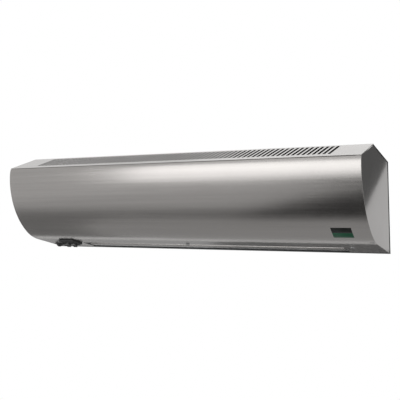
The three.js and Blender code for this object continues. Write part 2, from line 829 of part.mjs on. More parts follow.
// The tray lies on the underside of the control end and carries the terminals.
function wiringTray() {
  const left = -(halfLength - endPlateInset - innerSheet - endPlateLip - gap);
  const right = cheekLeftOuter - gap;
  const low = skin + gap;
  const tray = block([left, trayFront, low], [right, trayRear, low + innerSheet]);
  const upstand = block(
    [right - innerSheet, trayUpstand.front, low],
    [right, trayUpstand.rear, low + trayUpstand.height]);
  return cut(joined(fromUnderside(tray), fromUnderside(upstand)), ...undersideHoles());
}

function switchPanel() {
  const halfX = switchPanelLength / 2;
  const halfY = switchPanelWidth / 2;
  const low = -gap - switchPanelHeight;
  const foot = new THREE.Shape([
    point(-halfX, -halfY), point(halfX, -halfY), point(halfX, halfY), point(-halfX, halfY)]);
  const bevel = 1.2;
  const geometry = new THREE.ExtrudeGeometry(foot, {
    depth: switchPanelHeight - bevel, bevelEnabled: true, bevelSegments: 2,
    bevelSize: bevel, bevelThickness: bevel, bevelOffset: -bevel });
  geometry.translate(switchPanelX, switchPanelAcross, low + bevel);
  const plate = solid(geometry);
  const backOff = block([-halfLength, 0, -gap], [0, 90, 10]);
  const windows = [-1, 1].map((side) => switchWell(side, gap, low - 2, 2));
  return cut(plate, backOff, ...windows);
}

// The space of a switch's body, grown by a clearance.
function switchWell(side, clearance, low, high) {
  const x = switchPanelX + (side * switchSpacing) / 2;
  const halfX = switchBodyLength / 2 + clearance;
  const halfY = switchBodyWidth / 2 + clearance;
  return block([x - halfX, switchPanelAcross - halfY, low], [x + halfX, switchPanelAcross + halfY, high]);
}

const rimHigh = -2 * gap - switchPanelHeight;
const rimLow = rimHigh - switchRim;

// A switch body with its rim on the panel, a pocket and two bearing holes for the rocker.
function switchBody(side) {
  const x = switchPanelX + (side * switchSpacing) / 2;
  const body = switchWell(side, 0, rimLow, rimHigh + switchBodyDepth);
  const rim = switchWell(side, switchRimWidth, rimLow, rimHigh);
  const pocket = block(
    [x - rockerLength / 2 - rockerGap, switchPanelAcross - rockerWidth / 2 - rockerGap, rimLow - 1],
    [x + rockerLength / 2 + rockerGap, switchPanelAcross + rockerWidth / 2 + rockerGap,
      rimLow + rockerDepth + rockerPocketSpare]);
  const reach = rockerLength / 2 + rockerPinLength + rockerGap;
  const axle = rod(rockerPinRadius + runningGap, x - reach, x + reach,
    switchPanelAcross, rimLow + rockerDepth * 0.5, 12);
  const tab = contactTab;
  const bodyTop = rimHigh + switchBodyDepth;
  const tabs = [-1, 0, 1].map((n) => block(
    [x - tab.halfWidth, switchPanelAcross + n * tab.pitch - tab.halfThickness, bodyTop - 1],
    [x + tab.halfWidth, switchPanelAcross + n * tab.pitch + tab.halfThickness,
      bodyTop + tab.length]));
  return joined(cut(joined(body, rim), pocket, axle), ...tabs);
}

// A rocker about its own pivot, level, with its pressing face to -Z.
function rocker() {
  const half = rockerWidth / 2;
  const face = -rockerDepth * 0.5 - rockerProud;
  const shoulder = -rockerDepth * 0.5 - rockerProud * 0.15;
  const top = rockerDepth * 0.42;
  const section = new THREE.Shape([
    point(-half, face), point(-half * 0.45, shoulder - 0.9), point(0, shoulder - 0.5),
    point(half * 0.45, shoulder - 0.9), point(half, face), point(half - 1.4, top * 0.2),
    point(half * 0.5, top), point(-half * 0.5, top), point(-half + 1.4, top * 0.2)]);
  const cap = alongX(section, -rockerLength / 2, rockerLength / 2);
  const reach = rockerLength / 2 + rockerPinLength;
  return joined(cap, rod(rockerPinRadius, -reach, reach, 0, 0, 12));
}

function placeRocker(name, side) {
  const mesh = place(name, rocker(), lampPlastic, undersideFrame);
  const x = switchPanelX + (side * switchSpacing) / 2;
  mesh.position.set(x, switchPanelAcross, rimLow + rockerDepth * 0.5);
  mesh.rotation.x = radians(rockerTilt);
}

// A membrane gland: a hexagon and a dome below the underside, a shank through it.
function cableGland(gland) {
  const corner = gland.acrossFlats / Math.sqrt(3);
  const hexagon = pin(corner, -gap - glandFlange, -gap, gland.x, gland.across, 6);
  const shankTop = skin + gap + innerSheet + glandShankAbove;
  const dome = gland.dome;
  const base = -gap - glandFlange;
  const rest = post([
    [0, base - dome * 0.45], [dome * 0.35, base - dome * 0.45], [dome * 0.45, base - dome * 0.62],
    [dome * 0.85, base - dome * 0.4], [dome, base + 1], [gland.shank, base + 1],
    [gland.shank, shankTop], [gland.shank - 1.5, shankTop],
    [gland.shank - 1.5, 2], [0, 2]], gland.x, gland.across, 12);
  return joined(hexagon, rest);
}

function glandNutRing(gland) {
  const low = skin + gap + innerSheet + gap;
  const corner = (gland.acrossFlats + 1) / Math.sqrt(3);
  const hexagon = pin(corner, low, low + glandNut, gland.x, gland.across, 6);
  const bore = pin(gland.shank + gap, low - 1, low + glandNut + 1, gland.x, gland.across, 16);
  return cut(hexagon, bore);
}

// A row of poles with a wire mouth and a screw well each, on two feet.
function terminalBlock() {
  const { x, across, length, width, height, poles } = terminal;
  const low = skin + gap + innerSheet + gap;
  const base = block(
    [x - length / 2, across - width / 2, low], [x + length / 2, across + width / 2, low + height * 0.55]);
  const crown = block(
    [x - length * 0.28, across - width / 2, low], [x + length * 0.28, across + width / 2, low + height]);
  const pitch = width / poles;
  const wells = [];
  for (let i = 0; i < poles; i += 1) {
    const at = across - width / 2 + pitch * (i + 0.5);
    const tall = low + height;
    wells.push(pin(pitch * 0.3, tall - 7, tall + 1, x - 3, at, 6));
    wells.push(pin(pitch * 0.3, tall - 7, tall + 1, x + 3, at, 6));
    wells.push(block([x - length, at - 2, low + 3], [x - length * 0.5 + 5, at + 2, low + 8]));
  }
  return cut(joined(base, crown), ...wells);
}

// ---------------------------------------------------------------- inside fittings

const capacitorX = cheekLeftOuter - gap - clipSheet - gap - capacitorRadius;

function motorCapacitor() {
  const half = capacitorLength / 2;
  const can = new THREE.LatheGeometry([
    point(0, -half), point(capacitorRadius - 1.5, -half), point(capacitorRadius, -half + 1.5),
    point(capacitorRadius, half - 2), point(capacitorRadius - 2, half), point(0, half)], 20);
  const pole = (offset) => block([offset - 2.5, half - 1, -0.4], [offset + 2.5, half + 7, 0.4]);
  const body = joined(solid(can), pole(-6), pole(6));
  return body.translate(capacitorX, capacitorPlace.y, capacitorPlace.z);
}

// The clip is an open band round the capacitor with a foot on the cheek.
function capacitorClip() {
  const inner = capacitorRadius + gap;
  const band = new THREE.Shape();
  band.absarc(0, 0, inner + clipSheet, radians(100), radians(380), false);
  band.absarc(0, 0, inner, radians(380), radians(100), true);
  const geometry = new THREE.ExtrudeGeometry(band, {
    depth: clipWidth, bevelEnabled: false, curveSegments: 10 });
  geometry.rotateX(Math.PI / 2);
  geometry.translate(capacitorX, capacitorPlace.y + clipWidth / 2, capacitorPlace.z);
  const footX = cheekLeftOuter - gap;
  const foot = block(
    [footX - clipSheet, capacitorPlace.y - clipWidth / 2, capacitorPlace.z - capacitorRadius - 14],
    [footX, capacitorPlace.y + clipWidth / 2, capacitorPlace.z + 1]);
  return joined(solid(geometry), foot);
}

function thermalCutout() {
  const x = cheekLeftOuter - gap;
  const body = revolved([
    [0, x], [cutoutRadius, x], [cutoutRadius, x - 5], [cutoutRadius - 2, x - 9],
    [0, x - 9]], cutoutPlace.y, cutoutPlace.z, 12);
  const blade = (offset) => block(
    [x - 17, cutoutPlace.y + offset - 2.5, cutoutPlace.z - 0.4],
    [x - 8.5, cutoutPlace.y + offset + 2.5, cutoutPlace.z + 0.4]);
  const ears = block(
    [x - 1.2, cutoutPlace.y - 15, cutoutPlace.z - 4], [x, cutoutPlace.y + 15, cutoutPlace.z + 4]);
  return joined(body, blade(-4), blade(4), ears);
}

// A stud with a nut against the cheek for the earth lead.
function earthStud() {
  const x = cheekLeftOuter - gap;
  const { y, z } = earthPlace;
  return joined(rod(2, x - 14, x, y, z, 10), rod(4.3, x - 4, x, y, z, 6), rod(5, x - 8, x - 7, y, z, 14));
}

// A rubber ring that lines a cheek's hole where the motor's lead passes.
function leadGrommet(cheekOuter, side) {
  const bore = leadRadius + 2 * gap;
  const neck = grommetHoleRadius - gap;
  const collar = grommetHoleRadius + 2;
  const out = cheekOuter + side * gap;
  const inFace = cheekOuter - side * (innerSheet + gap);
  return revolved([
    [bore, out + side * 1.8], [collar, out + side * 1.8], [collar, out], [neck, out],
    [neck, inFace], [collar, inFace], [collar, inFace - side * 1.8],
    [bore, inFace - side * 1.8], [bore, out + side * 1.8]], leadLine.y, leadLine.z, 12);
}

// The motor's lead runs behind the scroll from the terminals to the motor.
function motorLead() {
  const low = skin + gap + innerSheet + gap + terminal.height;
  const blockTop = acrossUnderside(terminal.across + 14, low + gap);
  const blockAbove = acrossUnderside(terminal.across + 14, low + 6);
  const { y, z } = leadLine;
  const end = aroundFan(stackSize / 2 + 3 * gap, 0);
  const midStack = (stackStart + stackEnd) / 2;
  const spots = [
    [terminal.x, blockTop.x, blockTop.y], [terminal.x, blockAbove.x, blockAbove.y],
    [terminal.x, y - 3, blockAbove.y + 16], [terminal.x, y, z - 24],
    [terminal.x + 6, y, z - 6], [cheekLeftOuter - 8, y, z], [cheekLeftOuter, y, z],
    [cheekLeftInner + 12, y, z], [-100, y, z], [120, y, z],
    [cheekRightInner - 12, y, z], [cheekRightInner + 4, y, z], [cheekRightInner + 12, y, z - 1],
    [midStack - 6, y, z - 14], [midStack, y - 3, fanZ + 12],
    [midStack, end.x + 12, fanZ + 1], [midStack, end.x, fanZ]];
  const route = new THREE.CatmullRomCurve3(spots.map((s) => new THREE.Vector3(...s)), false, 'centripetal');
  const circle = new THREE.Shape(
    Array.from({ length: 6 }, (_, i) => polar(leadRadius, 60 * i)));
  const geometry = new THREE.ExtrudeGeometry(circle, {
    steps: 52, extrudePath: route, bevelEnabled: false });
  return solid(geometry);
}

// ---------------------------------------------------------------- fixings

function flangeScrew(x) {
  const head = -gap;
  return post([
    [0, head - screwHeadHeight], [screwHeadRadius * 0.55, head - screwHeadHeight],
    [screwHeadRadius, head - screwHeadHeight * 0.35], [screwHeadRadius, head],
    [screwShankRadius, head], [screwShankRadius, screwLength - 1.2],
    [screwShankRadius * 0.4, screwLength], [0, screwLength]], x, fixingAcross, 10);
}

function skinRivet() {
  return post([
    [0, -gap - 1], [rivetRadius, -gap - 0.6], [rivetRadius + 1, -gap], [rivetRadius - 0.5, -gap],
    [rivetRadius - 0.5, 4], [0, 4]], rivetX, fixingAcross, 12);
}

// ---------------------------------------------------------------- assembly

place('rear_panel', rearPanel(), darkSheet);
place('front_panel', frontPanel(), stainless);
place('inlet_grille', inletGrille(), stainless);
place('left_end_plate', endPlate(-1), stainless);
place('right_end_plate', endPlate(1), stainless);

place('blower_cheek_left', cheek(cheekLeftInner, -1), zincSheet);
place('blower_cheek_right', joined(cheek(cheekRightInner, 1), cheekFoot()), zincSheet);
place('fan_scroll', fanScroll(), zincSheet);
place('fan_tongue', fanTongue(), zincSheet);
place('outlet_guide_vane', outletVane(), stainless);

place('fan_rotor', fanRotor(), fanMetal);
place('rotor_journal', rotorJournal(), steel);
place('bearing_bush', bearingBush(), bronze);
place('bearing_housing', bearingHousing(), zincSheet);

place('motor_bracket', motorBracket(), zincSheet);
place('motor_front_shield', motorShield(frontShieldStart + shieldDepth, frontShieldStart), aluminium);
place('motor_stator', motorStack(), steel);
place('motor_rear_shield', motorShield(stackEnd + gap, rearShieldEnd), aluminium);
place('motor_rotor', motorRotor(), steel);
place('shaft_coupling', shaftCoupling(), rubber);

heaterPlaces().forEach((centre, i) => {
  place(`heater_element_${i + 1}`, heaterElement(centre), heaterSteel);
});
place('heater_support', heaterSupport(), zincSheet);

place('wiring_tray', wiringTray(), zincSheet);
place('switch_panel', switchPanel(), blackPlastic, undersideFrame);
place('fan_switch_body', switchBody(-1), blackPlastic, undersideFrame);
place('heat_switch_body', switchBody(1), blackPlastic, undersideFrame);
placeRocker('fan_rocker', -1);
placeRocker('heat_rocker', 1);
place('supply_gland', cableGland(supplyGland), blackPlastic, undersideFrame);
place('supply_gland_nut', glandNutRing(supplyGland), blackPlastic, undersideFrame);
place('control_gland', cableGland(controlGland), blackPlastic, undersideFrame);
place('control_gland_nut', glandNutRing(controlGland), blackPlastic, undersideFrame);
place('terminal_block', terminalBlock(), greyPlastic, undersideFrame);

place('motor_capacitor', motorCapacitor(), aluminium);
place('capacitor_clip', capacitorClip(), zincSheet);
place('thermal_cutout', thermalCutout(), blackPlastic);
place('earth_stud', earthStud(), bronze);
place('lead_grommet_left', leadGrommet(cheekLeftOuter, -1), rubber);
place('lead_grommet_right', leadGrommet(cheekRightInner + innerSheet, 1), rubber);
place('motor_lead', motorLead(), greySleeve);

place('flange_screw_left', flangeScrew(fixingPlaces.left), steel, undersideFrame);
place('flange_screw_centre', flangeScrew(fixingPlaces.centre), steel, undersideFrame);
place('flange_screw_right', flangeScrew(fixingPlaces.right), steel, undersideFrame);
place('skin_rivet', skinRivet(), steel, undersideFrame);

export default curtain;
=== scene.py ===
"""Looks of a stainless steel air curtain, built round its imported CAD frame.

The frame's axes: X along the casing, the front faces -Y, +Z up, and the flat back lies
in the plane Y = 0. Blender's metres hold in the scene; pieces are shaped in millimetres
and scaled once, when they are finished."""
import json
import math

import bmesh
import bpy
from mathutils import Matrix, Vector
from mathutils.geometry import interpolate_bezier

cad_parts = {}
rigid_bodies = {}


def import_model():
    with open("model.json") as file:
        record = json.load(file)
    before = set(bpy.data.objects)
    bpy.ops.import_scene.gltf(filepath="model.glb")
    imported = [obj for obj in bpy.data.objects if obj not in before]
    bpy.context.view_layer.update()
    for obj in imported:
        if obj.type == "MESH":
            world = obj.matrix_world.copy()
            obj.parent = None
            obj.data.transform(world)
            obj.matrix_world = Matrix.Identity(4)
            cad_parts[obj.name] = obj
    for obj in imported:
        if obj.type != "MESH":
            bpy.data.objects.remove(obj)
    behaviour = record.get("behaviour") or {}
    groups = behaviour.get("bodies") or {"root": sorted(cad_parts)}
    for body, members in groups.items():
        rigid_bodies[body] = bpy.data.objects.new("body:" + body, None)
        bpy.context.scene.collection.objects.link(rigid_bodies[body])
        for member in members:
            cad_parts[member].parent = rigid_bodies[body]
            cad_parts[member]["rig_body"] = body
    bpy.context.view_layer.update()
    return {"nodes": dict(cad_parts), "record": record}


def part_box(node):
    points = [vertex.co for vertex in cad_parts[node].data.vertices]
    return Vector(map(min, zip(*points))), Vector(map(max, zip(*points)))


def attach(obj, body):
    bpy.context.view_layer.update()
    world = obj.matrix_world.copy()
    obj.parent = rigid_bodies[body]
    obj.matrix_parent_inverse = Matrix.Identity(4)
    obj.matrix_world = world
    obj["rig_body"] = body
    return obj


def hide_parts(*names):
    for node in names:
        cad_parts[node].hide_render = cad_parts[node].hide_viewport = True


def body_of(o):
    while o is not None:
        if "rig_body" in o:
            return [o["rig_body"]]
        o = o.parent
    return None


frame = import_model()
node = frame["nodes"]
slot_of = {part["node"]: part["material_slot"] for part in frame["record"]["subparts"]}

# ------------------------------------------------------------------ sizes, in mm

MM = 0.001
GAP = 0.3
SKIN = 1.0
INNER_SHEET = 1.2
HALF_LENGTH = 400.0
END_INSET = 0.8
END_LIP = 10.0
END_RIM = 1.3


def spot(y, z):
    return Vector((0.0, y, z))


# The casing's section.
INLET_FRONT = spot(-186, 90)
RIDGE = spot(-104, 116)
BOTTOM_FRONT = spot(-106, -66)
BOTTOM_REAR = spot(0, -89)
BACK_TOP = spot(0, 89)
slope = (RIDGE - INLET_FRONT).normalized()
slope_length = (RIDGE - INLET_FRONT).length
into_slope = spot(slope.z, -slope.y)
step_under_inlet = spot(0, (SKIN + GAP) / slope.y)
skin_top = INLET_FRONT - step_under_inlet
across_under = (BOTTOM_REAR - BOTTOM_FRONT).normalized()
above_under = spot(-across_under.z, across_under.y)
UNDER_LENGTH = (BOTTOM_REAR - BOTTOM_FRONT).length
BEND_REACH = 15.0
CURVE_HANDLES = (spot(-193.93, 72), spot(-189, -21))
CURVE_POINTS = 56

# The skin's fold under the inlet, which stops short of the ends.
FOLD_ROUND = 0.8
FOLD_REACH = 11.0
FOLD_FROM_END = 12.5

# The underside's frame: X along the casing, Y across the underside, Z inwards.
underside = Matrix.Translation(BOTTOM_FRONT) @ Matrix.Rotation(
    math.atan2(across_under.z, across_under.y), 4, "X")

# The outlet.
OUTLET = (-294.0, 324.0)
OUTLET_FRONT = 50.0
REAR_FLANGE = 11.0
VANE_FRONT = 74.0
VANE_LIP = 14.0
VANE_HEIGHT = 17.0
VANE_LIFT = 1.2
VANE_LEAN = (1.5, 5.5)
VANE_ROUND = 2.2
VANE_END_GAP = 4.0
DUCT_END_GAP = 1.7

# The slotted inlet.
SLOTS = 68
SLOT_PITCH = 10.0
SLOT_WIDTH = 5.6
SLOT_FROM = 15.0
SLOT_TO_RIDGE = 6.5
SLOTS_CENTRE = 1.5
SLOT_FACETS = 16

# Fixings and fittings in the underside, as places along X and across it.
FIXING_ACROSS = 41.0
SCREWS = {"left": -354.5, "centre": -12.0, "right": 345.0}
RIVET_X = 36.0
SWITCH_OPENING = (-333.3, -299.7, 18.7, 47.3)
GLANDS = {
    "supply_gland": {"x": -371.0, "flats": 19.0, "shank": 6.0, "dome": 7.0},
    "control_gland": {"x": -350.5, "flats": 14.0, "shank": 4.5, "dome": 5.5},
}
GLAND_ACROSS = 63.0
GLAND_FLANGE = 3.5
GLAND_TOP = 12.5

# The patch on the front: its two ends, and its edges from the top down.
PATCH_ENDS = (327.5, 366.0)
PATCH_EDGES = (-37.5, -47.0, -56.0)
PATCH_LIFT = 0.1
PATCH_FILM = 0.08

# How near two points count as one place: in a new shape, in a CAD mesh, between the
# inlet's cells and on a corner of the section.
SAME_PLACE = 0.001
SAME_IN_CAD = 0.002
SAME_IN_CELLS = 0.01
SAME_CORNER = 0.05

# The angles, in degrees, above which an edge is sharp, is broken, or parts two flats.
SHARP_ANGLE = 32.0
BROKEN_ANGLE = 40.0
FLAT_ANGLE = 0.5

# ------------------------------------------------------------------ finishes


def shader(name, colour, metallic, roughness):
    """A new material with its shader, and the nodes and links it grows from."""
    material = bpy.data.materials.new(name)
    material.use_nodes = True
    tree = material.node_tree
    surface = tree.nodes["Principled BSDF"]
    surface.inputs["Base Color"].default_value = (*colour, 1.0)
    surface.inputs["Metallic"].default_value = metallic
    surface.inputs["Roughness"].default_value = roughness
    return material, tree, surface


def stretched_noise(tree, scale, detail, stretch=(1.0, 1.0, 1.0)):
    """Noise on the object's own coordinates, drawn out along its axes."""
    place = tree.nodes.new("ShaderNodeTexCoord")
    mapping = tree.nodes.new("ShaderNodeMapping")
    mapping.inputs["Scale"].default_value = stretch
    noise = tree.nodes.new("ShaderNodeTexNoise")
    noise.inputs["Scale"].default_value = scale
    noise.inputs["Detail"].default_value = detail
    tree.links.new(place.outputs["Object"], mapping.inputs["Vector"])
    tree.links.new(mapping.outputs["Vector"], noise.inputs["Vector"])
    return noise.outputs["Fac"]


def spread(tree, value, low, high):
    """The middle part of the noise, spread between two numbers."""
    span = tree.nodes.new("ShaderNodeMapRange")
    span.inputs["From Min"].default_value = 0.3
    span.inputs["From Max"].default_value = 0.7
    span.inputs["To Min"].default_value = low
    span.inputs["To Max"].default_value = high
    tree.links.new(value, span.inputs["Value"])
    return span.outputs["Result"]


def combined(tree, how, one, other):
    """Two values put together by an arithmetic step."""
    math_node = tree.nodes.new("ShaderNodeMath")
    math_node.operation = how
    tree.links.new(one, math_node.inputs[0])
    tree.links.new(other, math_node.inputs[1])
    return math_node.outputs[0]


def tinted(tree, surface, value, dark, light):
    """The base colour moves between two colours with the value."""
    ramp = tree.nodes.new("ShaderNodeValToRGB")
    ramp.color_ramp.elements[0].position = 0.35
    ramp.color_ramp.elements[1].position = 0.65
    ramp.color_ramp.elements[0].color = (*dark, 1.0)
    ramp.color_ramp.elements[1].color = (*light, 1.0)
    tree.links.new(value, ramp.inputs["Fac"])
    tree.links.new(ramp.outputs["Color"], surface.inputs["Base Color"])


def bumped(tree, surface, value, strength, distance):
    """The value stands out as a fine relief."""
    bump = tree.nodes.new("ShaderNodeBump")
    bump.inputs["Strength"].default_value = strength
    bump.inputs["Distance"].default_value = distance
    tree.links.new(value, bump.inputs["Height"])
    tree.links.new(bump.outputs["Normal"], surface.inputs["Normal"])


def shaded(colour, factor):
    return tuple(channel * factor for channel in colour)


STEEL = (0.374, 0.360, 0.349)


def brushed_stainless(name, grain_along, roughness=0.235):
    """Brushed steel: fine scratches along one axis, longer streaks and soft smudges."""
    material, tree, surface = shader(name, STEEL, 1.0, roughness)
    surface.inputs["Anisotropic"].default_value = 0.5

    def drawn(along, across):
        return tuple(along if axis == grain_along else across for axis in "XYZ")

    scratches = stretched_noise(tree, scale=1.0, detail=3.0, stretch=drawn(5.0, 950.0))
    streaks = stretched_noise(tree, scale=1.0, detail=2.0, stretch=drawn(1.6, 130.0))
    smudges = stretched_noise(tree, scale=9.0, detail=3.0)
    grain = combined(tree, "MULTIPLY_ADD", scratches, streaks)
    grain.node.inputs[2].default_value = 0.25
    tinted(tree, surface, grain, shaded(STEEL, 0.95), shaded(STEEL, 1.05))
    uneven = combined(tree, "MULTIPLY", spread(tree, scratches, 0.9, 1.12),
                      spread(tree, smudges, roughness * 0.93, roughness * 1.07))
    tree.links.new(uneven, surface.inputs["Roughness"])
    tangent = tree.nodes.new("ShaderNodeTangent")
    tangent.direction_type = "RADIAL"
    tangent.axis = grain_along
    tree.links.new(tangent.outputs["Tangent"], surface.inputs["Tangent"])
    bumped(tree, surface, scratches, strength=0.12, distance=0.00002)
    return material


def mottled(name, colour, metallic, roughness, scale, contrast, bump=0.1):
    """A cast, plated or moulded finish with a fine unevenness."""
    material, tree, surface = shader(name, colour, metallic, roughness)
    cloud = stretched_noise(tree, scale, detail=4.0)
    tinted(tree, surface, cloud, shaded(colour, 1 - contrast), shaded(colour, 1 + contrast))
    tree.links.new(
        spread(tree, cloud, roughness * 0.85, roughness * 1.15), surface.inputs["Roughness"])
    bumped(tree, surface, cloud, bump, distance=0.0002)
    return material


def spangled_zinc(name, colour, roughness):
    """Galvanised sheet: crystal cells of slightly different greys."""
    material, tree, surface = shader(name, colour, 1.0, roughness)
    place = tree.nodes.new("ShaderNodeTexCoord")
    crystals = tree.nodes.new("ShaderNodeTexVoronoi")
    crystals.inputs["Scale"].default_value = 130.0
    tree.links.new(place.outputs["Object"], crystals.inputs["Vector"])
    grey = tree.nodes.new("ShaderNodeRGBToBW")
    tree.links.new(crystals.outputs["Color"], grey.inputs["Color"])
    tinted(tree, surface, grey.outputs["Val"], shaded(colour, 0.82), shaded(colour, 1.16))
    tree.links.new(spread(tree, grey.outputs["Val"], roughness * 0.85, roughness * 1.2),
                   surface.inputs["Roughness"])
    grit = stretched_noise(tree, scale=700.0, detail=2.0)
    bumped(tree, surface, grit, strength=0.08, distance=0.0001)
    return material


# Colour, metal or not, roughness, then the scale and the contrast of the unevenness.
finish = {
    "stainless": brushed_stainless("brushed_stainless", "X"),
    "dark_sheet": mottled("powder_coated_sheet", (0.022, 0.023, 0.025), 0.0, 0.5, 900, 0.15),
    "zinc_sheet": spangled_zinc("galvanised_sheet", (0.42, 0.43, 0.44), 0.4),
    "fan_aluminium": mottled("fan_aluminium", (0.55, 0.56, 0.57), 1.0, 0.35, 120, 0.06),
    "bright_steel": mottled("bright_steel", (0.5, 0.5, 0.5), 1.0, 0.25, 200, 0.05),
    "black_plastic": mottled("black_moulding", (0.012, 0.012, 0.013), 0.0, 0.42, 1500, 0.15),
    "rocker_plastic": mottled("rocker_moulding", (0.016, 0.016, 0.017), 0.0, 0.3, 1500, 0.1),
    "black_rubber": mottled("black_rubber", (0.014, 0.014, 0.014), 0.0, 0.75, 700, 0.2),
    "sintered_bronze": mottled("sintered_bronze", (0.40, 0.22, 0.09), 1.0, 0.45, 1800, 0.2),
    "heater_sheath": mottled("heater_sheath", (0.16, 0.14, 0.125), 1.0, 0.45, 90, 0.2),
    "ivory_plastic": mottled("ivory_moulding", (0.66, 0.63, 0.55), 0.0, 0.45, 1200, 0.05),
    "cast_aluminium": mottled("cast_aluminium", (0.50, 0.51, 0.52), 1.0, 0.42, 350, 0.1),
    "stator_plates": mottled("stator_plates", (0.20, 0.20, 0.21), 1.0, 0.45, 800, 0.15),
    "grey_sleeve": mottled("grey_sleeve", (0.22, 0.225, 0.23), 0.0, 0.6, 600, 0.08),
}
end_steel = mottled("rolled_stainless", STEEL, 1.0, 0.05, 14, 0.03, bump=0.0)
# The screws' base colour is darker than plain steel as painted shade: it stands in for the
# shadow in and round their recesses.
screw_steel = mottled("screw_steel", (0.26, 0.26, 0.26), 1.0, 0.2, 200, 0.1)

# ------------------------------------------------------------------ making pieces


def made(name, bm, slot, body="casing", stands_for=(), material=None):
    """A bmesh in millimetres becomes a smooth-shaded piece that rides on a body."""
    bmesh.ops.scale(bm, vec=(MM, MM, MM), verts=bm.verts)
    mesh = bpy.data.meshes.new(name)
    bm.to_mesh(mesh)
    bm.free()
    mesh.polygons.foreach_set("use_smooth", [True] * len(mesh.polygons))
    mesh.set_sharp_from_angle(angle=math.radians(SHARP_ANGLE))
    mesh.materials.append(material or finish[slot])
    piece = bpy.data.objects.new(name, mesh)
    bpy.context.scene.collection.objects.link(piece)
    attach(piece, body)
    if stands_for:
        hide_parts(*stands_for)
    return piece


def walled(piece, thickness):
    """Gives a sheet its thickness, inwards from its outer face."""
    wall = piece.modifiers.new("wall", "SOLIDIFY")
    wall.thickness = thickness * MM
    wall.offset = -1.0
    wall.use_even_offset = True
    return piece


def eased(piece, width):
    """Breaks a piece's sharp edges, and keeps its flat faces flat in the light."""
    edge = piece.modifiers.new("eased_edges", "BEVEL")
    edge.width = width * MM
    edge.segments = 2
    edge.limit_method = "ANGLE"
    edge.angle_limit = math.radians(BROKEN_ANGLE)
    evened = piece.modifiers.new("flat_faces_lead", "WEIGHTED_NORMAL")
    evened.keep_sharp = True
    return piece


def each_once(things):
    """The things without repeats, in the order that they come in."""
    return list(dict.fromkeys(things))


def moved(bm, way, geom):
    """Shifts the vertices among a step's new geometry."""
    verts = [v for v in geom if isinstance(v, bmesh.types.BMVert)]
    bmesh.ops.translate(bm, vec=way, verts=verts)


def chain(bm, points, closed=False):
    """Vertices in a row, joined by edges."""
    verts = [bm.verts.new(p) for p in points]
    edges = [bm.edges.new(pair) for pair in zip(verts, verts[1:])]
    if closed:
        edges.append(bm.edges.new((verts[-1], verts[0])))
    return edges


def drawn_out(bm, edges, start, end):
    """A chain in the plane X = 0 becomes a sheet between two places along X."""
    verts = each_once(v for edge in edges for v in edge.verts)
    bmesh.ops.translate(bm, vec=(start, 0, 0), verts=verts)
    moved(bm, (end - start, 0, 0), bmesh.ops.extrude_edge_only(bm, edges=edges)["geom"])


def facing(bm, way):
    """Turns an open sheet so that its face furthest along a direction looks that way."""
    bmesh.ops.recalc_face_normals(bm, faces=bm.faces)
    foremost = max(bm.faces, key=lambda face: face.calc_center_median().dot(way))
    if foremost.normal.dot(way) < 0:
        bmesh.ops.reverse_faces(bm, faces=bm.faces)


def parted(bm, place, square_to):
    """A cut line through the whole sheet where a plane meets it."""
    bmesh.ops.bisect_plane(bm, geom=bm.verts[:] + bm.edges[:] + bm.faces[:],
                           plane_co=place, plane_no=square_to)


def without(bm, unwanted):
    """Takes out the faces whose centres a test picks."""
    faces = [face for face in bm.faces if unwanted(face.calc_center_median())]
    bmesh.ops.delete(bm, geom=faces, context="FACES")


def folded(bm, corner, reach, segments):
    """Rounds the folds that run along X through a corner of the section."""
    edges = [edge for edge in bm.edges
             if all((v.co.yz - corner.yz).length < SAME_CORNER for v in edge.verts)]
    bmesh.ops.bevel(bm, geom=edges, offset=reach, segments=segments, profile=0.5,
                    affect="EDGES", material=-1)


def turned(bm, profile, steps):
    """Spins a profile of (radius, height) round the Z axis into a closed shape."""
    edges = chain(bm, [(radius, 0.0, height) for radius, height in profile])
    verts = each_once(v for edge in edges for v in edge.verts)
    bmesh.ops.spin(bm, geom=verts + edges, cent=(0, 0, 0), axis=(0, 0, 1),
                   angle=math.tau, steps=steps, use_merge=True, use_duplicate=False)
    bmesh.ops.remove_doubles(bm, verts=bm.verts, dist=SAME_PLACE)


def joined_copy(name):
    """A CAD node's mesh in millimetres, with its loose triangles joined to flat faces."""
    bm = bmesh.new()
    bm.from_mesh(node[name].data)
    bmesh.ops.scale(bm, vec=(1 / MM,) * 3, verts=bm.verts)
    bmesh.ops.remove_doubles(bm, verts=bm.verts, dist=SAME_IN_CAD)
    bmesh.ops.dissolve_limit(bm, angle_limit=math.radians(FLAT_ANGLE), verts=bm.verts,
                             edges=bm.edges, use_dissolve_boundaries=False)
    return bm


def refined(name, easing):
    """A node's own shape with smooth curves and broken edges, in the node's place."""
    body = body_of(node[name])[0]
    piece = made(name + "_finished", joined_copy(name), slot_of[name], body, [name])
    return eased(piece, easing)


# ------------------------------------------------------------------ the casing


def whole_curve():
    """The front skin's outer face from its top fold to the corner of the underside."""
    return interpolate_bezier(skin_top, *CURVE_HANDLES, BOTTOM_FRONT, CURVE_POINTS)


def front_curve():
    """The part of that curve above the bend into the underside."""
    return [p for p in whole_curve() if (p - BOTTOM_FRONT).length > BEND_REACH + 1]


def under(across, height):
    """A point of the section, by its place across the underside and its height in it."""
    return BOTTOM_FRONT + across_under * across + above_under * height


